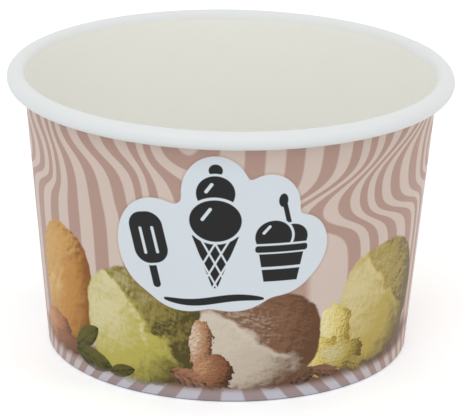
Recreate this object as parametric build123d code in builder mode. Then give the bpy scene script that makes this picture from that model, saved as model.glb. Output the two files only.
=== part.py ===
from build123d import *
from math import asin, atan2, cos, degrees, hypot, radians, sin, tan
import os

# Paper tub for ice cream, in millimetres and degrees, +Z up.
# The origin is the centre of the foot, on the table, and the printed front faces -Y.
# The tub is two pieces of coated board. A fan-shaped blank is rolled into the side wall,
# with a lapped seam, a rim curled outwards and a foot folded inwards. A round base with
# a turned-down skirt sits inside, and the folded foot grips that skirt.
# The round turns of the board are short flats that touch the true curve, so that the
# tub stays light to draw.

# Driving dimensions
rim_diameter = 96.0      # over the rolled rim
foot_diameter = 78.4     # over the wall, at the table
cup_height = 61.2
board = 0.4              # board of the side wall
base_board = 0.4         # board of the base
seal_film = 0.02         # melted film between two layers of board
roll_height = 3.7        # rolled rim, top to bottom
roll_stretch = 0.3       # how much wider than high the roll is
roll_step = 30           # turn from one flat to the next on the outer half of the roll
wide_step = 45           # turn from flat to flat at the lip of the roll and at its tucked end
curl_gap = 0.1           # air between the end of the roll and the wall
curl_end = 2.3           # end of the board, up from the underside of the roll
fold_bevel = 0.3         # bevel outside the fold at the foot, on the wall's side
hem_height = 4.6         # top of the hem inside the foot, up from the table
base_recess = 6.0        # underside of the base, up from the table
base_bevel = 0.5         # bevel where the base turns down into its skirt
skirt_rise = 0.15        # end of the skirt, up from the inside of the fold
seam_angle = 20.0        # outer edge of the side seam, from +X towards +Y
lap_angle = 9.0          # overlap of the side seam
ramp_angle = 9.0         # stretch in which the outer layer comes back to the round
edge_angle = 1.0         # flat stretch of the pressed inner edge, before its ramp
edge_press = 0.12        # depth of the inner edge, pressed into the wall

# Rolled rim: centres of its two halves and of the end tucked up beside the wall
roll_radius = (roll_height - board) / 2
roll_z = cup_height - roll_height / 2
outer_half_x = rim_diameter / 2 - board / 2 - roll_radius
inner_half_x = outer_half_x - roll_stretch
tuck_radius = roll_radius + roll_stretch - board - curl_gap
tuck_z = roll_z - roll_radius + tuck_radius

# Wall: the middle of its board runs from the foot up to where it meets the roll
foot_x = foot_diameter / 2 - board / 2
reach = hypot(inner_half_x - foot_x, roll_z)
lean = atan2(inner_half_x - foot_x, roll_z) - asin(roll_radius / reach)
wall_top_z = (reach**2 - roll_radius**2) ** 0.5 * cos(lean)

# Layers at the foot, as distances inwards from the middle of the wall's board
skirt_outside = board / 2 + seal_film
skirt_inside = skirt_outside + base_board
hem_outside = skirt_inside + seal_film
hem_inside = hem_outside + board
skirt_end_z = board + skirt_rise
base_top_z = base_recess + base_board


def wall_x(z, inward=0.0):
    """Radius at height z of a line parallel to the wall, that far inward from the middle of its board."""
    return foot_x + z * tan(lean) - inward / cos(lean)


def flats(centre_x, centre_z, radius, facing):
    """Corners between flats that touch a circle and face the given directions, one after another."""
    corners = []
    for near, far in zip(facing, facing[1:]):
        middle, half = radians((near + far) / 2), radians((near - far) / 2)
        out = radius / cos(half)
        corners.append((centre_x + out * cos(middle), centre_z + out * sin(middle)))
    return corners


def on_plan(radius, angle):
    """Point at that radius and angle, seen from above."""
    return radius * cos(radians(angle)), radius * sin(radians(angle))


def rolled_side(outward):
    """One side of the board from the top of the wall to its end in the roll, outward from its middle."""
    up_over = [180 - degrees(lean), 180 - wide_step, 90]
    down = list(range(90, -91, -roll_step))
    tucked = [-90, -90 - wide_step, -180]
    end = (outer_half_x - tuck_radius - outward, roll_z - roll_height / 2 + curl_end)
    return [
        *flats(inner_half_x, roll_z, roll_radius + outward, up_over),
        *flats(outer_half_x, roll_z, roll_radius + outward, down),
        *flats(outer_half_x, tuck_z, tuck_radius + outward, tucked),
        end,
    ]


def seam_step(z, radius, ramp_to, start, level):
    """Plan of one edge of the seam: level from its start, then a ramp that ends at the radius ramp_to."""
    end = start + level + ramp_angle
    with BuildSketch(Plane.XY.offset(z)) as plan:
        with BuildLine():
            edge = CenterArc((0, 0), radius, start, level)
            halfway = on_plan((radius + ramp_to) / 2, end - ramp_angle / 2)
            ThreePointArc(edge @ 1, halfway, on_plan(ramp_to, end))
            back = CenterArc((0, 0), ramp_to, start, level + ramp_angle)
            Line(back @ 0, edge @ 0)
        make_face()
    return plan.sketch.face()


# Side wall: hem, fold, wall and roll are one strip of board, seen end on
with BuildPart() as side_wall:
    with BuildSketch(Plane.XZ):
        with BuildLine():
            Polyline(
                (wall_x(hem_height, hem_outside), hem_height),
                (wall_x(board, hem_outside), board),
                (wall_x(board, board / 2), board),
                *rolled_side(board / 2),
                *reversed(rolled_side(-board / 2)),
                (wall_x(fold_bevel, -board / 2), fold_bevel),
                (wall_x(0, -board / 2) - fold_bevel, 0),
                (wall_x(0, hem_inside), 0),
                (wall_x(hem_height, hem_inside), hem_height),
                close=True,
            )
        make_face()
    revolve(axis=Axis.Z)

    # Outer layer of the seam, from the fold up to behind the roll
    outer_layer = [
        seam_step(z, wall_x(z, -1.5 * board), wall_x(z), seam_angle, lap_angle)
        for z in (board, roll_z)
    ]
    loft(outer_layer, ruled=True)

    # Inner edge of the seam, from the base up to the roll
    inner_edge = [
        seam_step(z, inner_x + edge_press, inner_x - edge_press, seam_angle + lap_angle, edge_angle)
        for z, inner_x in ((z, wall_x(z, board / 2)) for z in (base_top_z, wall_top_z))
    ]
    loft(inner_edge, ruled=True, mode=Mode.SUBTRACT)
side_wall.part.label = "side_wall"

# Base: a flat disc with its skirt turned down between the wall and the hem
with BuildPart() as base_disc:
    with BuildSketch(Plane.XZ):
        with BuildLine():
            Polyline(
                (0, base_top_z),
                (wall_x(base_top_z, skirt_outside) - base_bevel, base_top_z),
                (wall_x(base_top_z - base_bevel, skirt_outside), base_top_z - base_bevel),
                (wall_x(skirt_end_z, skirt_outside), skirt_end_z),
                (wall_x(skirt_end_z, skirt_inside), skirt_end_z),
                (wall_x(base_recess, skirt_inside), base_recess),
                (0, base_recess),
                close=True,
            )
        make_face()
    revolve(axis=Axis.Z)
base_disc.part.label = "base_disc"

os.makedirs("parts", exist_ok=True)
export_step(side_wall.part, "parts/side_wall.step")
export_step(base_disc.part, "parts/base_disc.step")
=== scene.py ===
from math import asin, atan2, cos, degrees, hypot, pi, radians, sin, tan

import bpy
from bpy.props import FloatProperty, FloatVectorProperty, PointerProperty
from mathutils import Matrix, Vector


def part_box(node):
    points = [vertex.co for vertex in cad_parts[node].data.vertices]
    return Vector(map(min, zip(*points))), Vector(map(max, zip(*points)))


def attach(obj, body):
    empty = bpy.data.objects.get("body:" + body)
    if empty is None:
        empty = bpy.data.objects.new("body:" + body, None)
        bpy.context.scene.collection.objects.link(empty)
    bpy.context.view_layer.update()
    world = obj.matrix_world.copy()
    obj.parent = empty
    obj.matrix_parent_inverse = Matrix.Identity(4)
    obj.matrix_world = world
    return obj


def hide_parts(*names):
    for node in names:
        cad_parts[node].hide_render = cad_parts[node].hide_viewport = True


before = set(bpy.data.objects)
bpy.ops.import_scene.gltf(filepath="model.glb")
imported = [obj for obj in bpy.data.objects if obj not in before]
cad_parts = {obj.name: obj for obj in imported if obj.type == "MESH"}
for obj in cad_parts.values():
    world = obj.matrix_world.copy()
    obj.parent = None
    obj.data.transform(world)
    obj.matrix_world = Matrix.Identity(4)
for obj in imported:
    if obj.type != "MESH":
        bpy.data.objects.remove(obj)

# Paper tub for ice cream, in metres, +Z up. The printed front faces -Y.
# The CAD model gives the sizes. This file gives the two boards their true curves,
# the lap of the side seam, the print and the surfaces.

bl_info = {
    "name": "Paper ice cream tub",
    "version": (1, 0, 0),
    "blender": (4, 5, 0),
    "location": "3D View > Sidebar > Tub",
    "description": "Builds a printed paper tub on its CAD frame, with a studio to view it in",
    "category": "Object",
}

MM = 0.001
WALL_LOW, WALL_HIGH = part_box("side_wall")
BASE_LOW, BASE_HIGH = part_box("base_disc")

PRINT_MM = 0.72                 # width of one degree of the print, in millimetres
ONE_WAVE = 2 * pi / 180         # a wave that fits once into one print, in radians per degree
TABLE_EDGE = 7.4                # height of the far edge of the printed table, in millimetres
RIBS = 200                      # pressed into the hem, all the way round
NO_CREASE = 9.0                 # a crease that is too far up to be on the scoop

OUTER_STEP = 0.96               # step at the outer edge of the seam, in thicknesses of the board
INNER_STEP = 0.3                # the same at its inner edge, on the food side
RIM_STEP = 0.55                 # the same on the rolled rim
SEAM_EDGE = 0.012               # half the width of a cut edge of the seam, in degrees
WOBBLE = 0.05 * MM              # how far the formed wall is off the round at most

FLOAT, COLOUR = "NodeSocketFloat", "NodeSocketColor"


# ---------------------------------------------------------------- settings

def length(name, description, default):
    """A size in metres, shown in the scene's units."""
    return FloatProperty(name=name, description=description, default=default, min=0.0, unit="LENGTH", precision=5)


def turn(name, description, default):
    """An angle, kept in radians and given here in degrees."""
    return FloatProperty(name=name, description=description, default=radians(default), unit="ROTATION")


def paint(name, description, default):
    """A colour as it shows on a screen, from 0 to 1."""
    return FloatVectorProperty(
        name=name, description=description, default=default, size=3, min=0.0, max=1.0, subtype="COLOR_GAMMA"
    )


class TubSizes(bpy.types.PropertyGroup):
    rim_diameter: length("Rim diameter", "Over the rolled rim", 2 * min(WALL_HIGH[0], WALL_HIGH[1], -WALL_LOW[0]))
    foot_diameter: length("Foot diameter", "Over the wall at the table", 78.4 * MM)
    cup_height: length("Height", "From the table to the top of the rim", WALL_HIGH[2])
    board: length("Wall board", "Thickness of the side wall's board", 0.4 * MM)
    base_board: length("Base board", "Thickness of the base's board", 0.4 * MM)
    seal_film: length("Seal film", "Melted film between two layers", 0.02 * MM)
    roll_height: length("Roll height", "Rolled rim, top to bottom", 3.7 * MM)
    roll_stretch: length("Roll stretch", "How much wider than high the roll is", 0.3 * MM)
    curl_gap: length("Curl gap", "Air between the end of the roll and the wall", 0.1 * MM)
    curl_end: length("Curl end", "End of the board, up from the underside of the roll", 2.3 * MM)
    fold_radius: length("Fold radius", "Middle of the board at the two turns of the foot's fold", 0.3 * MM)
    hem_height: length("Hem height", "Top of the hem inside the foot", 4.6 * MM)
    base_recess: length("Base recess", "Underside of the base, up from the table", BASE_HIGH[2] - 0.4 * MM)
    base_bend: length("Base bend", "Middle of the board where the base turns down", 0.7 * MM)
    skirt_end: length("Skirt end", "Lower edge of the base's skirt", BASE_LOW[2])
    seam_angle: turn("Seam angle", "Outer edge of the side seam, from +X towards +Y", 20.0)
    lap_angle: turn("Lap", "Overlap of the side seam", 9.0)
    ramp_angle: turn("Ramp", "Stretch in which the outer layer comes back to the round", 9.0)


class TubColours(bpy.types.PropertyGroup):
    coated: paint("Coated board", "Inside of the tub", (0.957, 0.955, 0.934))
    # Painted shade: the rim is the same coated board as the inside, set darker and cooler where it is rolled
    rim: paint("Rim", "Coated board where it is rolled over the rim", (0.90, 0.91, 0.912))
    raw_edge: paint("Cut edge", "Raw fibres at a cut edge of the board", (0.86, 0.82, 0.74))
    stripe_dark: paint("Dark stripe", "Dark stripe of the print", (0.718, 0.593, 0.545))
    stripe_light: paint("Light stripe", "Light stripe of the print", (0.84, 0.765, 0.723))
    label: paint("Label", "Cloud-shaped label", (0.86, 0.89, 0.915))
    ink: paint("Ink", "Figures on the label", (0.125, 0.125, 0.125))
    apricot: paint("Apricot ice", "Scoop at the left", (0.765, 0.545, 0.27))
    mint: paint("Green ice", "Scoop at the centre left", (0.74, 0.695, 0.35))
    cocoa: paint("Brown ice", "Dark part of the centre right scoop", (0.50, 0.36, 0.27))
    cream: paint("Cream ice", "Pale part of the centre right scoop", (0.79, 0.73, 0.66))
    pistachio: paint("Yellow ice", "Scoop at the right", (0.74, 0.655, 0.35))
    leaf: paint("Leaf", "Mint leaves", (0.25, 0.24, 0.09))
    nut: paint("Nut", "Nuts beside the scoops", (0.46, 0.33, 0.25))


class StudioSettings(bpy.types.PropertyGroup):
    key: FloatProperty(name="Key lamp", description="Large soft lamp, above on the left", default=1.9, unit="POWER")
    fill: FloatProperty(name="Fill lamp", description="Soft lamp on the right", default=0.45, unit="POWER")
    room: FloatProperty(name="Room light", description="Even light from all round", default=0.86, min=0.0)
    floor: paint("Floor", "Colour of the floor", (0.925, 0.93, 0.94))
    glow: FloatProperty(name="Floor glow", description="Keeps the floor white to the eye", default=0.35, min=0.0)


# ---------------------------------------------------------------- shader writing

def linear(colour):
    """Screen colour to the shader's linear colour, with alpha."""
    return [c / 12.92 if c <= 0.04045 else ((c + 0.055) / 1.055) ** 2.4 for c in colour] + [1.0]


class Term:
    """A socket that can be added, multiplied and so on. Each step writes one Math node."""

    def __init__(self, sheet, socket):
        self.sheet, self.socket = sheet, socket

    def __add__(self, other):
        return self.sheet.maths("ADD", self, other)

    def __sub__(self, other):
        return self.sheet.maths("SUBTRACT", self, other)

    def __mul__(self, other):
        return self.sheet.maths("MULTIPLY", self, other)

    def __truediv__(self, other):
        return self.sheet.maths("DIVIDE", self, other)

    def __rsub__(self, other):
        return self.sheet.maths("SUBTRACT", other, self)

    __radd__, __rmul__ = __add__, __mul__


class NodeSheet:
    """Writes nodes into one tree. A group has its named inputs in self.given."""

    def __init__(self, tree):
        self.tree = tree
        self.given = {}

    def put(self, socket, value):
        """Link a term to a socket, or set the socket to a plain value."""
        if isinstance(value, Term):
            self.tree.links.new(value.socket, socket)
        else:
            socket.default_value = value

    def node(self, kind, inputs=(), **settings):
        made = self.tree.nodes.new(kind)
        for name, value in settings.items():
            setattr(made, name, value)
        for name, value in dict(inputs).items():
            self.put(made.inputs[name], value)
        return made

    def maths(self, operation, *values):
        made = self.node("ShaderNodeMath", operation=operation)
        for socket, value in zip(made.inputs, values):
            self.put(socket, value)
        return Term(self, made.outputs[0])

    def smooth(self, value, low, high):
        """0 at low, 1 at high and eased between. low may be the larger one."""
        ends = (0.0, 1.0)
        if low > high:
            low, high, ends = high, low, (1.0, 0.0)
        inputs = {"Value": value, "From Min": low, "From Max": high, "To Min": ends[0], "To Max": ends[1]}
        # This curve keeps to its ends by itself, and Clamp would take up a large shader's memory
        made = self.node("ShaderNodeMapRange", inputs, interpolation_type="SMOOTHSTEP", clamp=False)
        return Term(self, made.outputs["Result"])

    def step(self, value, softness):
        """Nearly 0 well below zero and nearly 1 well above it, eased over twice the softness."""
        part = value / softness
        return part / self.maths("SQRT", part * part + 1.0) * 0.5 + 0.5

    def mix(self, mask, under, over, blend="MIX"):
        """Colour over another, by a mask."""
        made = self.node("ShaderNodeMix", data_type="RGBA", blend_type=blend)
        for place, value in ((0, mask), (6, under), (7, over)):
            self.put(made.inputs[place], value)
        return Term(self, made.outputs[2])

    def point(self, x, y, z):
        return Term(self, self.node("ShaderNodeCombineXYZ", {"X": x, "Y": y, "Z": z}).outputs[0])

    def noise(self, place, scale, detail=2.0, rough=0.5, stretch=0.0):
        """Cloudy noise, from 0 to 1."""
        inputs = {"Vector": place, "Scale": scale, "Detail": detail, "Roughness": rough, "Distortion": stretch}
        return Term(self, self.node("ShaderNodeTexNoise", inputs).outputs["Fac"])

    def place(self, group, **inputs):
        """Place a node group and return its outputs by name."""
        made = self.node("ShaderNodeGroup", node_tree=group)
        made.label = group.name
        for name, value in inputs.items():
            self.put(made.inputs[name.replace("_", " ")], value)
        return {socket.name: Term(self, socket) for socket in made.outputs}

    def give(self, **outputs):
        """Link a group's outputs."""
        made = self.node("NodeGroupOutput")
        for name, value in outputs.items():
            self.put(made.inputs[name.replace("_", " ")], value)


def new_group(name, inputs, outputs):
    """A shader node group with named inputs, given as name: default, and outputs, given as name: kind."""
    tree = bpy.data.node_groups.new(name, "ShaderNodeTree")
    for title, default in inputs.items():
        kind = COLOUR if isinstance(default, tuple) else FLOAT
        made = tree.interface.new_socket(title, in_out="INPUT", socket_type=kind)
        made.default_value = default
    for title, kind in outputs.items():
        tree.interface.new_socket(title, in_out="OUTPUT", socket_type=kind)
    sheet = NodeSheet(tree)
    entry = sheet.node("NodeGroupInput")
    sheet.given = {socket.name: Term(sheet, socket) for socket in entry.outputs if socket.name}
    return sheet


def tub_place_group(sizes):
    """Where a point is on the tub: degrees from the front, millimetres up and out, and a mask of the rolled rim."""
    names = ("Angle", "Height", "Radius", "Print Angle", "Rolled")
    sheet = new_group("tub place", {}, {name: FLOAT for name in names})
    at = Term(sheet, sheet.node("ShaderNodeTexCoord").outputs["Object"])
    x, y, z = (Term(sheet, socket) for socket in sheet.node("ShaderNodeSeparateXYZ", {"Vector": at}).outputs)
    angle = sheet.maths("ARCTAN2", x, y * -1.0) * (180 / pi)
    height, radius = z * 1000.0, sheet.maths("SQRT", x * x + y * y) * 1000.0
    rolled = sheet.maths("MAXIMUM", sheet.smooth(height, 59.0, 60.6), sheet.smooth(radius, 45.2, 46.0))

    # The print comes twice, and its two ends don't quite meet at the outer edge of the seam
    seam, slip = 90.0 + degrees(sizes.seam_angle), 2.6
    behind = sheet.maths("GREATER_THAN", angle, seam) * sheet.smooth(angle, 175.0, seam + 2.0)
    printed = sheet.maths("WRAP", angle + behind * slip, 90.0, -90.0)
    sheet.give(Angle=angle, Height=height, Radius=radius, Print_Angle=printed, Rolled=rolled)
    return sheet.tree


def board_grain_group():
    """Felted fibres and cloudiness of board under its coat."""
    sheet = new_group(
        "board grain", {"Clouding": 0.03, "Fibre": 0.02, "Relief": 1.0}, {"Tint": FLOAT, "Height": FLOAT}
    )
    at = Term(sheet, sheet.node("ShaderNodeTexCoord").outputs["Object"])
    given = sheet.given
    cloud = sheet.noise(at, 160.0, 3.0, 0.55) - 0.5
    fibre = sheet.noise(at, 1800.0, 4.0, 0.6, 0.6) - 0.5
    fine = sheet.noise(at, 5200.0, 2.0, 0.5) - 0.5
    tint = 1.0 + cloud * given["Clouding"] * 2.0 + fibre * given["Fibre"] * 2.0
    sheet.give(Tint=tint, Height=(cloud * 0.8 + fibre * 0.5 + fine * 0.25) * given["Relief"])
    return sheet.tree


def pressed_marks_group():
    """Relief of the marks that the tools leave: ribs on the hem, a ring above the foot and creases on the rim."""
    names = ("Angle", "Height", "Radius", "Rolled")
    sheet = new_group("pressed marks", {name: 0.0 for name in names}, {"Height": FLOAT})
    angle, height, radius, rolled = (sheet.given[name] for name in names)
    hem = sheet.smooth(height, 0.9, 1.3) * sheet.smooth(height, 4.3, 3.9) * sheet.smooth(radius, 38.4, 38.2)
    ribs = sheet.maths("SINE", angle * radians(RIBS)) * 0.5 * hem
    ring = sheet.smooth(sheet.maths("ABSOLUTE", height - 6.3), 0.5, 0.0) * sheet.smooth(radius, 38.8, 39.0)
    creases = (sheet.noise(sheet.point(angle * 1.6, height * 0.25, radius * 0.25), 1.0, 3.0, 0.6) - 0.5) * rolled
    sheet.give(Height=ribs - ring * 0.7 + creases * 0.6)
    return sheet.tree


def wavy_stripes_group():
    """Mask of the wavy stripes: 0 on a dark stripe, 1 on a light one."""
    sheet = new_group("wavy stripes", {"Angle": 0.0, "Height": 0.0}, {"Mask": FLOAT})
    angle, height = sheet.given["Angle"], sheet.given["Height"]
    step = sheet.step

    # Stripes are counted from a valley, 11 degrees left of the front. They run out to both sides of it,
    # and are bent at a few heights
    twice = (angle + 11.0) * ONE_WAVE
    away = sheet.maths("ARCSINE", sheet.maths("COSINE", twice) * -0.992) * (90 / pi) + 45.0
    right = sheet.smooth(sheet.maths("SINE", twice), -0.1, 0.5)
    left_side = (
        away / 9.4 + step(away - 13.0, 4.0) * 1.25 + step(away - 47.0, 5.0) * step(height - 42.0, 2.5) * 1.7
        - step(height - 52.0, 4.0) * 1.67 - (away - 38.0) / 75.0 * (1.0 - step(height - 41.0, 3.0)) + 0.68
    )
    right_side = (
        (away - 18.5) / 11.0 + step(away - 53.0, 8.0) * 1.5
        + (1.0 - step(height - 47.0 - (angle - 30.0) * 0.22, 2.2)) * 2.7
        - (1.0 - step(height - 38.3, 3.0)) * sheet.smooth(away, 14, 62) * 2.5 + 1.0
    )
    count = left_side + (right_side - left_side) * right

    # On the table there are 26 of them, which fan out and get narrower to both sides
    turned = sheet.maths("SINE", angle * ONE_WAVE)
    fanned = (angle - turned * (7.0 - height) * 1.25) * (26 / 180) - turned * 1.02 + 0.35
    upper, lower = (sheet.smooth(sheet.maths("COSINE", c * (2 * pi)), 0.22, -0.22) for c in (count, fanned))
    sheet.give(Mask=upper + (lower - upper) * step(TABLE_EDGE - height, 0.25))
    return sheet.tree


def scoop_group():
    """One printed scoop of ice cream, lit from the upper left: smooth below a crease, torn above it."""
    sheet = new_group(
        "scoop",
        {"Angle": 0.0, "Height": 0.0, "Centre Angle": 0.0, "Centre Height": 15.0, "Width": 12.0, "Tall": 12.0,
         "Seed": 0.0, "Crease": 0.0, "Tilt": 0.7, "Torn": 0.5, "Ragged": 1.0, "Shade": (0.3, 0.2, 0.1, 1),
         "Body": (0.6, 0.5, 0.3, 1), "Torn Body": (0.5, 0.4, 0.2, 1), "Light": (0.9, 0.8, 0.6, 1)},
        {"Colour": COLOUR, "Mask": FLOAT},
    )
    given = sheet.given
    u = (given["Angle"] - given["Centre Angle"]) * PRINT_MM / given["Width"]
    v = (given["Height"] - given["Centre Height"]) / given["Tall"]
    at = sheet.point(u, v, given["Seed"])
    broad = sheet.noise(at, 1.7, 2.0, 0.5) - 0.5
    rag = sheet.noise(at, 4.6, 4.0, 0.6) - 0.5
    low = sheet.smooth(v, -0.35, -0.95)

    # Its outline is fuller than an oval, and more ragged at its foot
    corner = sheet.maths("MINIMUM", u * u, 1.0) * sheet.maths("MINIMUM", v * v, 1.0)
    reach = sheet.maths("SQRT", u * u + v * v - corner * 0.4)
    reach = reach + (broad * 0.15 + rag * (0.08 + low * 0.24)) * given["Ragged"]
    toward = sheet.maths("SQRT", sheet.maths("MAXIMUM", 1.0 - reach * reach, 0.0))

    # The crease, with a dark line above it and a light lip below
    c, s = sheet.maths("COSINE", given["Tilt"]), sheet.maths("SINE", given["Tilt"])
    over = u * s + v * c - given["Crease"] + broad * 0.8 + rag * 0.26
    torn = sheet.smooth(over, -0.06, 0.12)
    line = sheet.smooth(sheet.maths("ABSOLUTE", over - 0.05), 0.1, 0.0)
    lip = sheet.smooth(sheet.maths("ABSOLUTE", over + 0.08), 0.12, 0.0)

    # Torn ridges and dents, light where the relief falls towards the light
    def relief_at(shift_u, shift_v):
        along, across = (u + shift_u) * c - (v + shift_v) * s, (u + shift_u) * s + (v + shift_v) * c
        ridge = sheet.noise(sheet.point(along * 1.1, across * 1.9, given["Seed"]), 3.4, 5.0, 0.62, 0.5)
        return ridge + sheet.noise(sheet.point(u + shift_u, v + shift_v, given["Seed"] + 4.0), 8.0, 3.0, 0.6) * 0.4

    relief = sheet.maths("MINIMUM", (relief_at(0.0, 0.0) - relief_at(-0.03, 0.04)) * 3.4, 0.3)
    rough = (torn + (given["Ragged"] - 1.0) * 0.12) * given["Torn"]
    lit = (
        u * -0.6 + v * 0.2 + toward * 0.5 + relief * (0.2 + rough) + broad * 0.45
        + (lip * 0.28 - line * 0.42) * given["Torn"] * (1.0 + rag * 4.0)
    )
    body = sheet.mix(torn, given["Body"], given["Torn Body"])
    colour = sheet.mix(sheet.smooth(lit, -0.3, 0.42), given["Shade"], body)
    colour = sheet.mix(sheet.smooth(lit, 0.42, 0.9) * (1.0 - torn * 0.6), colour, given["Light"])
    sheet.give(Colour=colour, Mask=sheet.smooth(reach, 1.0, 0.96))
    return sheet.tree


def bean_group():
    """A leaf or a nut: a pointed oval with a middle line."""
    sheet = new_group(
        "leaf or nut",
        {"Angle": 0.0, "Height": 0.0, "Centre Angle": 0.0, "Centre Height": 5.0, "Half Length": 5.0,
         "Half Width": 2.0, "Tilt": 0.0, "Veins": 0.5, "Dark": (0.1, 0.1, 0.05, 1), "Pale": (0.3, 0.4, 0.2, 1)},
        {"Colour": COLOUR, "Mask": FLOAT},
    )
    given = sheet.given
    x, y = (given["Angle"] - given["Centre Angle"]) * PRINT_MM, given["Height"] - given["Centre Height"]
    c, s = sheet.maths("COSINE", given["Tilt"]), sheet.maths("SINE", given["Tilt"])
    along = (x * c + y * s) / given["Half Length"]
    across = (y * c - x * s) / given["Half Width"]
    at = sheet.point(along, across, given["Centre Angle"])
    edge = sheet.noise(at, 2.2, 4.0, 0.6) - 0.5
    width = sheet.maths("POWER", sheet.maths("MAXIMUM", 1.0 - along * along, 0.0), 0.7)
    aside = sheet.maths("ABSOLUTE", across)
    inside = width - aside + edge * 0.25
    mask = sheet.smooth(inside, 0.0, 0.12)
    vein = sheet.maths("ABSOLUTE", sheet.maths("SINE", (along - aside * 0.7) * 7.0 + edge * 5.0))
    middle = sheet.smooth(aside, 0.0, 0.22)
    lit = across * 0.35 + middle * 0.35 + (vein - 0.5) * given["Veins"] + edge * 1.2 + inside * 0.35
    sheet.give(Colour=sheet.mix(sheet.smooth(lit, -0.2, 0.9), given["Dark"], given["Pale"]), Mask=mask)
    return sheet.tree


def brush_group():
    """One brush stroke with tapered ends. Its line is a gentle S."""
    sheet = new_group(
        "brush stroke",
        {"Angle": 0.0, "Height": 0.0, "Centre Angle": 0.0, "Centre Height": 30.0, "Half Length": 8.0,
         "Thickness": 0.8, "Tilt": 0.0, "Sway": 1.0, "Taper": 0.5},
        {"Mask": FLOAT},
    )
    given = sheet.given
    x, y = (given["Angle"] - given["Centre Angle"]) * PRINT_MM, given["Height"] - given["Centre Height"]
    c, s = sheet.maths("COSINE", given["Tilt"]), sheet.maths("SINE", given["Tilt"])
    along = (x * c + y * s) / given["Half Length"]
    line = sheet.maths("SINE", along * pi) * given["Sway"]
    width = sheet.maths("POWER", sheet.maths("MAXIMUM", 1.0 - along * along, 0.0), given["Taper"])
    off = width * given["Thickness"] - sheet.maths("ABSOLUTE", y * c - x * s - line)
    sheet.give(Mask=sheet.smooth(off, -0.08, 0.12) * sheet.smooth(along * along, 1.0, 0.97))
    return sheet.tree


# ---------------------------------------------------------------- the print

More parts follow.
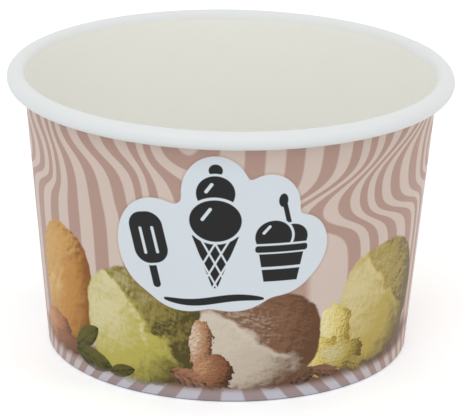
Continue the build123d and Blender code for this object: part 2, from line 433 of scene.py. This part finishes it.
def print_group(colours, groups):
    """The whole print of the tub: stripes, scoops and label, by angle from the front and height."""
    sheet = new_group("tub print", {"Angle": 0.0, "Height": 0.0}, {"Colour": COLOUR})
    angle, height = sheet.given["Angle"], sheet.given["Height"]
    stripes = sheet.place(groups["stripes"], Angle=angle, Height=height)["Mask"]
    colour = sheet.mix(stripes, linear(colours.stripe_dark), linear(colours.stripe_light))

    def tone(base, factor):
        return linear([min(1.0, c * factor) for c in base])

    def oval(at, height_at, width, tall):
        """Distance to the edge of an oval, in millimetres, below zero inside it. Its width is in degrees."""
        u, v = (angle - at) / width, (height - height_at) / tall
        return (sheet.maths("SQRT", u * u + v * v) - 1.0) * min(width * PRINT_MM, tall)

    # Far edge of the table, and the soft brown shade that the scoops stand in
    far = sheet.smooth(sheet.maths("ABSOLUTE", height - (TABLE_EDGE - 0.2)), 1.5, 0.1) * 0.4
    colour = sheet.mix(far, colour, tone(colours.nut, 1.2))
    for place, depth in (
        ((-22.0, 5.2, 50.0, 2.6), 0.85), ((18.0, 4.9, 44.0, 2.4), 0.9),
        ((57.0, 7.2, 17.5, 4.2), 0.8), ((-62.0, 6.2, 12.0, 3.4), 0.5),
    ):
        colour = sheet.mix(sheet.smooth(oval(*place), 1.1, -1.4) * depth, colour, tone(colours.nut, 0.82))

    def put_on(group, place, **values):
        """Lay one more motif over the print. It waits for the last one, as a large shader has little memory."""
        nonlocal colour, last
        waiting = angle if last is None else sheet.maths("MAXIMUM", angle, last - 1000.0)
        made = sheet.place(
            group, Angle=waiting, Height=height, Centre_Angle=place[0], Centre_Height=place[1], **values
        )
        colour, last = sheet.mix(made["Mask"], colour, made["Colour"]), made["Mask"]

    def scoop(place, size, seed, body, torn_body, shade, light, crease, tilt, torn, ragged=1.0):
        """A scoop with its crease so far up, in halves of its height, turned by tilt."""
        put_on(
            groups["scoop"], place, Width=size[0], Tall=size[1], Seed=seed, Crease=crease, Tilt=radians(tilt),
            Torn=torn, Ragged=ragged, Shade=linear(shade), Body=linear(body), Torn_Body=linear(torn_body),
            Light=linear(light),
        )

    def crumb(place, size, seed, body, shade, light, tilt, torn, ragged):
        """A small lump with no crease."""
        scoop(place, size, seed, body, body, shade, light, NO_CREASE, tilt, torn, ragged)

    def bean(base, place, half, width, tilt, veins, dark=0.5, pale=1.5):
        put_on(
            groups["bean"], place, Half_Length=half, Half_Width=width, Tilt=radians(tilt), Veins=veins,
            Dark=tone(base, dark), Pale=tone(base, pale),
        )

    last = None

    # Left scoop and the two lumps at its foot
    scoop(
        (-57.0, 19.0), (10.2, 14.6), 1.3, colours.apricot, (0.80, 0.61, 0.34), (0.54, 0.33, 0.12),
        (0.86, 0.71, 0.46), 0.3, -25, 0.3,
    )
    crumb((-65.0, 8.0), (6.6, 3.6), 7.9, (0.70, 0.48, 0.33), (0.46, 0.28, 0.18), (0.80, 0.61, 0.45), 20, 0.6, 4.0)
    crumb((-56.0, 5.9), (7.4, 2.1), 5.5, (0.50, 0.33, 0.22), (0.31, 0.18, 0.11), (0.62, 0.42, 0.28), 20, 0.6, 4.0)

    # Right scoop and its crumbs
    scoop(
        (53.0, 18.0), (13.6, 13.6), 4.1, colours.pistachio, (0.67, 0.59, 0.33), (0.42, 0.36, 0.22),
        (0.85, 0.79, 0.59), 0.22, 48, 0.5,
    )
    crumb((33.5, 14.2), (4.6, 6.2), 8.6, (0.88, 0.80, 0.50), (0.62, 0.52, 0.19), (0.93, 0.89, 0.70), 70, 0.9, 6.0)
    crumb((27.5, 9.4), (5.4, 4.4), 9.3, (0.88, 0.80, 0.48), (0.64, 0.54, 0.20), (0.95, 0.92, 0.77), 40, 0.9, 6.0)
    crumb((37.5, 8.4), (5.6, 3.2), 2.2, (0.74, 0.65, 0.33), (0.42, 0.35, 0.15), (0.84, 0.80, 0.63), 20, 0.9, 6.0)

    # The two scoops in the middle, with two lumps between them
    scoop(
        (-26.5, 15.6), (14.1, 13.6), 2.7, colours.mint, (0.56, 0.50, 0.265), (0.32, 0.28, 0.13),
        (0.86, 0.82, 0.64), 0.12, 50, 0.55,
    )
    scoop(
        (9.6, 14.2), (13.9, 11.4), 5.2, colours.cream, colours.cocoa, (0.40, 0.27, 0.18), (0.84, 0.79, 0.72),
        0.0, 34, 0.5,
    )
    crumb((-7.6, 13.0), (2.6, 5.4), 3.4, (0.72, 0.54, 0.40), (0.40, 0.25, 0.17), (0.86, 0.78, 0.69), 10, 0.8, 4.5)
    crumb((-3.8, 7.0), (4.4, 3.8), 6.1, (0.58, 0.39, 0.27), (0.29, 0.17, 0.11), (0.76, 0.58, 0.44), 30, 0.8, 4.5)

    # Leaves and nuts on the table
    bean(colours.leaf, (-47.5, 9.4), 5.0, 2.3, 38, 0.2)
    bean(colours.leaf, (-45.0, 4.8), 6.0, 2.6, -8, 0.25)
    bean(colours.leaf, (-33.5, 4.2), 3.6, 1.6, 16, 0.2)
    bean(colours.nut, (-11.6, 5.2), 4.3, 2.2, -16, 0.4, 0.4, 1.4)
    bean(colours.nut, (24.0, 5.0), 3.4, 1.9, 24, 0.4, 0.35, 1.0)
    bean(colours.nut, (31.0, 5.4), 3.8, 1.5, -14, 0.3, 0.5, 1.2)
    bean((0.52, 0.45, 0.25), (42.5, 5.2), 2.6, 1.9, -20, 0.2, 0.6, 1.3)

    # Cloud-shaped label: one outline round several ovals, with a fine shade at its edge
    edge = None
    for place in (
        (-3.5, 47.0, 9.5, 8.4), (11.0, 43.8, 8.8, 7.6), (20.0, 35.0, 8.6, 7.2), (13.0, 31.0, 12.0, 6.8),
        (-20.5, 34.6, 12.0, 10.6), (-12.0, 28.0, 13.0, 7.4), (1.0, 27.6, 13.0, 6.6), (-2.0, 37.0, 18.0, 10.0),
    ):
        field = oval(*place)
        if edge is not None:
            made = sheet.node("ShaderNodeMath", operation="SMOOTH_MIN")
            for socket, value in zip(made.inputs, (edge, field, 2.0)):
                sheet.put(socket, value)
            field = Term(sheet, made.outputs[0])
        edge = field
    colour = sheet.mix(sheet.smooth(edge, 0.7, -0.1) * 0.3, colour, tone(colours.nut, 1.3))
    colour = sheet.mix(sheet.smooth(edge, 0.1, -0.1), colour, linear(colours.label))

    ink = figures(sheet, groups["brush"], oval)
    colour = sheet.mix(ink, colour, linear(colours.ink))

    # Painted shade: the print is greyed a little and cooled towards the fold at the foot, most towards the front,
    # where the fold turns down to the table
    painted_foot_shade = sheet.mix(stripes, linear((0.63, 0.58, 0.60)), linear((0.78, 0.79, 0.86)))
    front = sheet.smooth(sheet.maths("ABSOLUTE", angle), 75.0, 30.0) * 0.6 + 0.15
    colour = sheet.mix(sheet.smooth(height, 3.8, 1.2) * front, colour, painted_foot_shade)
    # Darker still along the fold itself
    colour = sheet.mix(sheet.smooth(height, 0.5, 0.2) * 0.6, colour, linear((0.42, 0.39, 0.40)))
    sheet.give(Colour=colour)
    return sheet.tree


def figures(sheet, brush, oval):
    """Mask of the figures on the label: an ice lolly, a cone, a small tub with a spoon, and a brush stroke below."""
    angle, height = sheet.given["Angle"], sheet.given["Height"]

    def bigger(one, other):
        return sheet.maths("MAXIMUM", one, other)

    def size_of(value):
        return sheet.maths("ABSOLUTE", value)

    def turned(place, tilt):
        """Millimetres across and up from a point of the print, in a frame turned by tilt."""
        x, y = (angle - place[0]) * PRINT_MM, height - place[1]
        c, s = cos(radians(tilt)), sin(radians(tilt))
        return x * c + y * s, y * c - x * s

    def bar(place, half_across, half_up, corner, tilt=0.0):
        """Distance to a bar with round corners."""
        x, y = turned(place, tilt)
        x, y = bigger(size_of(x) - (half_across - corner), 0.0), bigger(size_of(y) - (half_up - corner), 0.0)
        return sheet.maths("SQRT", x * x + y * y) - corner

    def wedge(place, half_low, half_high, tall):
        """Distance to a shape with straight leaning sides, upwards from its place."""
        x, y = turned(place, 0.0)
        lean = (half_high - half_low) / tall
        sides = (size_of(x) - y * lean - half_low) * (1 / hypot(1, lean))
        return bigger(bigger(sides, y * -1.0), y - tall)

    def filled(field):
        return sheet.smooth(field, 0.1, -0.1)

    def add(mask, field, gap=0.0):
        """Ink with one more shape, and a clear gap round it."""
        if gap:
            mask = mask * sheet.smooth(field, gap - 0.1, gap + 0.1)
        return bigger(mask, filled(field))

    def clear(mask, field):
        return mask * sheet.smooth(field, -0.1, 0.1)

    # Ice lolly
    ink = filled(bar((-21.2, 28.6), 0.85, 3.4, 0.8, 12))
    ink = add(ink, bar((-22.8, 36.2), 3.7, 5.7, 3.2, 12), 0.5)
    for across in (-1.3, 1.3):
        ink = clear(ink, bar((-22.6 + across / PRINT_MM, 35.6 + across * 0.2), 0.32, 3.0, 0.3, 12))

    # Cone with two scoops and a cherry
    cone = wedge((-3.6, 26.2), 0.5, 4.7, 11.6)
    ink = add(ink, oval(-3.6, 52.3, 1.9, 1.35))
    ink = add(ink, oval(-3.6, 47.2, 5.3, 3.9), 0.5)
    ink = add(ink, oval(-3.6, 41.2, 7.2, 4.6), 0.6)
    waffle = filled(bigger(cone, oval(-3.6, 41.2, 8.1, 5.2) * -1.0))
    for across, tilt in ((-2.8, 28), (-0.4, 28), (2.0, 28), (-2.0, -28), (0.4, -28), (2.8, -28)):
        waffle = clear(waffle, bar((-3.6 + across / PRINT_MM, 32.4), 0.2, 9.0, 0.1, tilt))
    ink = bigger(ink, waffle)
    for place, size in (((-6.1, 42.6), 1.7), ((-5.4, 48.4), 1.3)):
        ink = clear(ink, bar(place, 0.34, size, 0.3, -34))

    # Small tub with a spoon
    ink = add(ink, bar((16.2, 42.4), 0.5, 4.0, 0.5, 14))
    ink = add(ink, oval(14.9, 45.6, 1.3, 1.5))
    ink = add(ink, oval(18.0, 37.2, 4.4, 3.0), 0.45)
    ink = add(ink, oval(12.6, 37.6, 5.2, 3.6), 0.5)
    ink = clear(ink, bar((10.6, 39.2), 0.3, 1.2, 0.3, -40))
    ink = add(ink, bar((15.0, 34.9), 5.4, 0.75, 0.6), 0.45)
    ink = add(ink, wedge((15.0, 27.6), 3.5, 4.6, 6.2))
    ink = clear(ink, bar((15.0, 30.6), 5.0, 0.3, 0.2))

    # Brush stroke
    made = sheet.place(
        brush, Angle=angle, Height=height, Centre_Angle=-4.0, Centre_Height=23.4, Half_Length=10.5, Thickness=0.85,
        Tilt=radians(2.0), Sway=0.55, Taper=0.35,
    )
    return bigger(ink, made["Mask"])


# ---------------------------------------------------------------- materials

def new_material(name):
    """A material, the sheet of its nodes and its surface shader."""
    made = bpy.data.materials.new(name)
    made.use_nodes = True
    sheet = NodeSheet(made.node_tree)
    return made, sheet, made.node_tree.nodes["Principled BSDF"]


def board_material(name, groups, colour, rough, clouding, fibre, relief, shine):
    """Board. colour is a screen colour, or a function that writes one from the sheet and the place on the tub."""
    _, sheet, surface = new_material(name)
    at = sheet.place(groups["place"])
    grain = sheet.place(groups["grain"], Clouding=clouding, Fibre=fibre, Relief=relief)
    marks = sheet.place(
        groups["marks"], Angle=at["Angle"], Height=at["Height"], Radius=at["Radius"], Rolled=at["Rolled"]
    )
    base = colour(sheet, at) if callable(colour) else linear(colour)
    tinted = sheet.mix(1.0, base, sheet.mix(grain["Tint"], [0, 0, 0, 1], [1, 1, 1, 1]), "MULTIPLY")
    sheet.put(surface.inputs["Base Color"], tinted)
    sheet.put(surface.inputs["Roughness"], rough + (grain["Tint"] - 1.0) * 1.6)
    surface.inputs["IOR"].default_value = 1.5
    surface.inputs["Specular IOR Level"].default_value = shine
    relief_height = grain["Height"] + marks["Height"]
    bump = sheet.node("ShaderNodeBump", {"Strength": 0.5, "Distance": 0.04 * MM, "Height": relief_height})
    sheet.tree.links.new(bump.outputs["Normal"], surface.inputs["Normal"])


def make_materials(sizes, colours):
    """The board's three finishes, made once."""
    if "printed board" in bpy.data.materials:
        return
    groups = {
        "place": tub_place_group(sizes), "grain": board_grain_group(), "stripes": wavy_stripes_group(),
        "scoop": scoop_group(), "bean": bean_group(), "brush": brush_group(), "marks": pressed_marks_group(),
    }
    groups["print"] = print_group(colours, groups)

    def printed(sheet, at):
        return sheet.place(groups["print"], Angle=at["Print Angle"], Height=at["Height"])["Colour"]

    def coated(sheet, at):
        # Painted shade: where the board is rolled over the rim it takes the darker, cooler rim colour, though it is
        # the same board
        return sheet.mix(at["Rolled"], linear(colours.coated), linear(colours.rim))

    board_material("printed board", groups, printed, rough=0.48, clouding=0.03, fibre=0.035, relief=0.8, shine=0.2)
    board_material("coated board", groups, coated, rough=0.42, clouding=0.012, fibre=0.01, relief=1.0, shine=0.35)
    board_material("cut edge", groups, colours.raw_edge, rough=0.85, clouding=0.05, fibre=0.16, relief=3.0, shine=0.2)


# ---------------------------------------------------------------- shapes

def roll_centres(sizes):
    """Radius of the rolled rim's board and the centres of the roll's two halves: outer, inner and their height."""
    radius = (sizes.roll_height - sizes.board) / 2
    outer_half = sizes.rim_diameter / 2 - sizes.board / 2 - radius
    return radius, outer_half, outer_half - sizes.roll_stretch, sizes.cup_height - sizes.roll_height / 2


def wall_line(sizes):
    """Lean of the wall and a function for the radius of a line parallel to it, that far inward."""
    radius, outer_half, inner_half, roll_z = roll_centres(sizes)
    foot = sizes.foot_diameter / 2 - sizes.board / 2
    reach = hypot(inner_half - foot, roll_z)
    lean = atan2(inner_half - foot, roll_z) - asin(radius / reach)
    return lean, lambda z, inward=0.0: foot + z * tan(lean) - inward / cos(lean)


def arc(centre, radius, start, end, count, face):
    """Stations along an arc, in degrees: radius, height, and the direction of the board's print side."""
    made = []
    for step in range(count + 1):
        angle = radians(start + (end - start) * step / count)
        out = Vector((cos(angle), sin(angle)))
        made.append((Vector(centre) + out * radius, out * face))
    return made


def straight(start, end, count, facing):
    """Stations between two points, without the end points."""
    start, end = Vector(start), Vector(end)
    return [(start.lerp(end, step / count), Vector(facing)) for step in range(1, count)]


def side_wall_stations(sizes):
    """The middle of the wall's board, from the hem inside the foot to the end of the rolled rim."""
    lean, wall_x = wall_line(sizes)
    tilt = degrees(lean)
    radius, outer_half, inner_half, roll_z = roll_centres(sizes)
    tuck = radius + sizes.roll_stretch - sizes.board - sizes.curl_gap
    tuck_z = roll_z - radius + tuck
    end_z = roll_z - sizes.roll_height / 2 + sizes.curl_end
    hem = sizes.board / 2 + sizes.seal_film * 2 + sizes.base_board + sizes.board / 2
    fold, fold_z = sizes.fold_radius, sizes.board / 2 + sizes.fold_radius
    out = Vector((cos(lean), -sin(lean)))

    hem_turn = arc((wall_x(fold_z, hem - fold), fold_z), fold, 180 - tilt, 270, 8, 1)
    foot_turn = arc((wall_x(fold_z, fold), fold_z), fold, -90, -tilt, 8, 1)
    lip = arc((inner_half, roll_z), radius, 180 - tilt, 90, 10, -1)
    over = arc((outer_half, roll_z), radius, 90, -90, 20, -1)
    tucked = arc((outer_half, tuck_z), tuck, -90, -180, 10, -1)
    hem_top = (Vector((wall_x(sizes.hem_height, hem), sizes.hem_height)), -out)
    end = (Vector((outer_half - tuck, end_z)), Vector((1, 0)))
    parts = (
        ("hem", [hem_top, *straight(hem_top[0], hem_turn[0][0], 4, -out)]),
        ("fold", hem_turn + foot_turn),
        ("wall", straight(foot_turn[-1][0], lip[0][0], 26, out)),
        ("roll", lip + over + tucked[1:] + [end]),
    )
    return [(at, facing, part) for part, stations in parts for at, facing in stations]


def ease(value, low, high):
    """0 at low, 1 at high, smooth between."""
    part = min(1.0, max(0.0, (value - low) / (high - low)))
    return part * part * (3 - 2 * part)


def seam_columns(sizes, count):
    """Angles of the mesh's columns, with a close pair at each cut edge of the seam, and the angles of those edges."""
    start, end = degrees(sizes.seam_angle), degrees(sizes.seam_angle + sizes.lap_angle)
    edges = [start - SEAM_EDGE, start + SEAM_EDGE, end - SEAM_EDGE, end + SEAM_EDGE]
    plain = [360 * step / count for step in range(count)]
    clear = [angle for angle in plain if all(abs(angle - edge) > 0.2 for edge in edges)]
    return sorted(clear + edges), start, end


def add_object(name, verts, faces, kinds, materials):
    """A piece on the tub's one body, with a material for each kind of face."""
    mesh = bpy.data.meshes.new(name)
    mesh.from_pydata(verts, [], faces)
    for material in materials:
        mesh.materials.append(bpy.data.materials[material])
    mesh.polygons.foreach_set("material_index", kinds)
    mesh.polygons.foreach_set("use_smooth", [True] * len(faces))
    mesh.set_sharp_from_angle(angle=radians(38))
    mesh.update()
    made = bpy.data.objects.new(name, mesh)
    bpy.context.scene.collection.objects.link(made)
    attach(made, "root")
    return made


def make_side_wall(sizes):
    """The side wall with its lapped seam, rolled rim and folded foot."""
    stations = side_wall_stations(sizes)
    columns, start, end = seam_columns(sizes, 420)
    ramp = degrees(sizes.ramp_angle)
    half = sizes.board / 2
    printed, coated, cut = 0, 1, 2
    verts, faces, kinds = [], [], []
    for angle in columns:
        lap = ease(angle, end + ramp, end) if angle > start else 0.0
        under = ease(angle, end + ramp, end) if angle > end else 0.0
        bump = ease(angle, start - 7, start + 0.5) if angle < end else 0.0
        swing = radians(angle)
        wave = 0.5 + 0.25 * sin(2 * swing + 0.7) + 0.15 * sin(3 * swing + 2.1) + 0.1 * sin(7 * swing)
        for side in (-1, 1):
            for at, facing, part in stations:
                point = at + facing * (half * side)
                out = 0.0
                if side == 1 and part != "roll":
                    out = facing.x * lap * OUTER_STEP
                elif side == -1 and part == "wall":
                    out = under * INNER_STEP
                elif side == -1 and part == "roll":
                    out = -facing.x * bump * RIM_STEP
                reach = point.x + out * sizes.board - WOBBLE * wave * ease(at.y, 20 * MM, 60 * MM)
                verts.append((reach * cos(swing), reach * sin(swing), point.y))
    count, rows = len(stations), len(columns)

    def index(column, side, station):
        return (column % rows) * 2 * count + side * count + station

    for column in range(rows):
        here, there = columns[column], columns[(column + 1) % rows]
        close = 0 < there - here < 4 * SEAM_EDGE
        for station in range(count - 1):
            a, b = index(column, 0, station), index(column + 1, 0, station)
            faces.append((a, a + 1, b + 1, b))
            kinds.append(cut if close and here > (start + end) / 2 else coated)
            a, b = index(column, 1, station), index(column + 1, 1, station)
            faces.append((a, b, b + 1, a + 1))
            kinds.append(cut if close and here < (start + end) / 2 else printed)
        for station, turned in ((0, False), (count - 1, True)):
            ring = (
                index(column, 0, station), index(column + 1, 0, station),
                index(column + 1, 1, station), index(column, 1, station),
            )
            faces.append(ring[::-1] if turned else ring)
            kinds.append(cut)
    made = add_object(
        "tub_side_wall", verts, faces, kinds, ("printed board", "coated board", "cut edge")
    )
    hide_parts("side_wall")


def make_base(sizes):
    """The raised base with its turned-down skirt."""
    lean, wall_x = wall_line(sizes)
    middle = sizes.board / 2 + sizes.seal_film + sizes.base_board / 2
    level = sizes.base_recess + sizes.base_board / 2
    bend_z = level - sizes.base_bend
    out = Vector((cos(lean), -sin(lean)))
    turned = arc(
        (wall_x(bend_z, middle + sizes.base_bend), bend_z), sizes.base_bend, -degrees(lean), 90, 12, 1
    )
    foot = (Vector((wall_x(sizes.skirt_end, middle), sizes.skirt_end)), out)
    flat = [(Vector((turned[-1][0].x * (1 - step / 16), level)), Vector((0, 1))) for step in range(1, 16)]
    stations = [foot, *straight(foot[0], turned[0][0], 5, out), *turned, *flat]
    columns, count, half = 256, len(stations), sizes.base_board / 2
    coated, cut = 0, 1
    verts, faces, kinds = [], [], []
    for column in range(columns):
        swing = 2 * pi * column / columns
        for side in (1, -1):
            for at, facing in stations:
                point = at + facing * (half * side)
                verts.append((point.x * cos(swing), point.x * sin(swing), point.y))
    centres = (len(verts), len(verts) + 1)
    verts += [(0, 0, level + half), (0, 0, level - half)]
    for column in range(columns):
        a, b = column * 2 * count, (column + 1) % columns * 2 * count
        for station in range(count - 1):
            faces.append((a + station, b + station, b + station + 1, a + station + 1))
            low, far = a + count + station, b + count + station
            faces.append((low, low + 1, far + 1, far))
        faces += [(a + count - 1, b + count - 1, centres[0]), (b + 2 * count - 1, a + 2 * count - 1, centres[1])]
        faces.append((a, a + count, b + count, b))
        kinds += [coated] * (2 * count) + [cut]
    made = add_object("tub_base", verts, faces, kinds, ("coated board", "cut edge"))
    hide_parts("base_disc")


# ---------------------------------------------------------------- studio

def look_matrix(place, forward, right):
    """Camera matrix from its place and two directions."""
    forward, right = forward.normalized(), right.normalized()
    up = right.cross(forward)
    return Matrix.Translation(place) @ Matrix((right, up, -forward)).transposed().to_4x4()


def make_camera():
    """The photograph's view: a long lens, 16.5 degrees above the rim."""
    # Solved from the two rings in the photograph: turns in radians, the distance in radii of the rim
    lift, roll, yaw, pitch = 0.2874, 0.0163, 0.0011, -0.0486
    focus_px, photo_px = 2902.97, 464
    rim_radius, distance = 48 * MM, 12.9643
    top = Vector((0, 0, WALL_HIGH[2]))
    away = distance * rim_radius
    place = top + Vector((0, -cos(lift), sin(lift))) * away
    forward, right = (top - place).normalized(), Vector((1, 0, 0))
    up = right.cross(forward)
    forward, right = forward * cos(yaw) + right * sin(yaw), right * cos(yaw) - forward * sin(yaw)
    forward, up = forward * cos(pitch) + up * sin(pitch), up * cos(pitch) - forward * sin(pitch)
    right = right * cos(roll) + up * sin(roll)
    data = bpy.data.cameras.new("camera")
    data.sensor_width = 36.0
    data.lens = focus_px / photo_px * data.sensor_width
    data.clip_start, data.clip_end = 0.01, 50.0
    made = bpy.data.objects.new("camera", data)
    made.matrix_world = look_matrix(place, forward, right)
    bpy.context.scene.collection.objects.link(made)
    bpy.context.scene.camera = made


def add_lamp(name, place, size, power, colour):
    """A round, soft lamp that points at the middle of the tub."""
    data = bpy.data.lights.new(name, "AREA")
    data.shape, data.size, data.energy, data.color = "DISK", size, power, colour
    made = bpy.data.objects.new(name, data)
    made.location = place
    made.rotation_euler = (Vector((0, 0, 0.03)) - Vector(place)).to_track_quat("-Z", "Y").to_euler()
    bpy.context.scene.collection.objects.link(made)


def as_seen(sheet, plain, seen, ending):
    """Send one shader to the eye and to reflections, and the plain one to everything else."""
    path = sheet.node("ShaderNodeLightPath")
    rays = [Term(sheet, path.outputs[name]) for name in ("Is Camera Ray", "Is Glossy Ray", "Is Transmission Ray")]
    chosen = sheet.maths("MAXIMUM", sheet.maths("MAXIMUM", rays[0], rays[1]), rays[2])
    mixed = sheet.node("ShaderNodeMixShader")
    sheet.put(mixed.inputs[0], chosen)
    sheet.tree.links.new(plain.outputs[0], mixed.inputs[1])
    sheet.tree.links.new(seen.outputs[0], mixed.inputs[2])
    sheet.tree.links.new(mixed.outputs[0], ending.inputs["Surface"])


def make_studio(settings):
    """Pale floor, white surroundings, a large lamp and a fill lamp."""
    scene = bpy.context.scene
    world = bpy.data.worlds.new("studio")
    scene.world = world
    world.use_nodes = True
    sheet = NodeSheet(world.node_tree)
    sheet.tree.nodes.clear()
    room = sheet.node("ShaderNodeBackground", {"Color": (1.0, 0.987, 0.96, 1), "Strength": settings.room})
    white = sheet.node("ShaderNodeBackground", {"Color": (1, 1, 1, 1), "Strength": 1.0})
    as_seen(sheet, room, white, sheet.node("ShaderNodeOutputWorld"))

    mesh = bpy.data.meshes.new("floor")
    size = 3.0
    mesh.from_pydata([(-size, -size, 0), (size, -size, 0), (size, size, 0), (-size, size, 0)], [], [(0, 1, 2, 3)])
    floor = bpy.data.objects.new("floor", mesh)
    scene.collection.objects.link(floor)
    material, sheet, surface = new_material("floor")
    bright = sheet.node(
        "ShaderNodeBsdfPrincipled", {"Emission Color": (1, 1, 1, 1), "Emission Strength": settings.glow}
    )
    for finish in (surface, bright):
        finish.inputs["Base Color"].default_value = linear(settings.floor)
        finish.inputs["Roughness"].default_value = 0.9
        finish.inputs["Specular IOR Level"].default_value = 0.1
    as_seen(sheet, surface, bright, sheet.tree.nodes["Material Output"])
    mesh.materials.append(material)

    add_lamp("key", (-0.35, -0.75, 0.85), 0.7, settings.key, (0.80, 0.92, 1.0))
    add_lamp("fill", (0.75, -0.45, 0.5), 0.6, settings.fill, (0.95, 0.98, 1.0))
    scene.view_settings.view_transform = "Standard"


# ---------------------------------------------------------------- operators

class TUB_OT_side_wall(bpy.types.Operator):
    """Build the side wall with its rolled rim, folded foot, seam and print"""

    bl_idname = "tub.side_wall"
    bl_label = "Side wall"

    def execute(self, context):
        make_materials(context.scene.tub_sizes, context.scene.tub_colours)
        make_side_wall(context.scene.tub_sizes)
        return {"FINISHED"}


class TUB_OT_base(bpy.types.Operator):
    """Build the raised base with its skirt"""

    bl_idname = "tub.base"
    bl_label = "Base"

    def execute(self, context):
        make_materials(context.scene.tub_sizes, context.scene.tub_colours)
        make_base(context.scene.tub_sizes)
        return {"FINISHED"}


class TUB_OT_studio(bpy.types.Operator):
    """Set up the floor, the lamps and the camera"""

    bl_idname = "tub.studio"
    bl_label = "Studio"

    def execute(self, context):
        make_camera()
        make_studio(context.scene.tub_studio)
        return {"FINISHED"}


class TUB_PT_sidebar(bpy.types.Panel):
    """Sizes, colours and operators of the tub"""

    bl_label = "Paper tub"
    bl_idname = "TUB_PT_sidebar"
    bl_space_type = "VIEW_3D"
    bl_region_type = "UI"
    bl_category = "Tub"

    def draw(self, context):
        for group in (context.scene.tub_sizes, context.scene.tub_colours, context.scene.tub_studio):
            box = self.layout.box()
            for name in group.__annotations__:
                box.prop(group, name)
        for operator in (TUB_OT_side_wall, TUB_OT_base, TUB_OT_studio):
            self.layout.operator(operator.bl_idname)


CLASSES = (TubSizes, TubColours, StudioSettings, TUB_OT_side_wall, TUB_OT_base, TUB_OT_studio, TUB_PT_sidebar)


def register():
    for cls in CLASSES:
        bpy.utils.register_class(cls)
    bpy.types.Scene.tub_sizes = PointerProperty(type=TubSizes)
    bpy.types.Scene.tub_colours = PointerProperty(type=TubColours)
    bpy.types.Scene.tub_studio = PointerProperty(type=StudioSettings)


def unregister():
    del bpy.types.Scene.tub_studio, bpy.types.Scene.tub_colours, bpy.types.Scene.tub_sizes
    for cls in reversed(CLASSES):
        bpy.utils.unregister_class(cls)


def main():
    register()
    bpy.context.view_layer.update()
    bpy.ops.tub.studio()
    bpy.ops.tub.side_wall()
    bpy.ops.tub.base()


if __name__ == "__main__":
    main()
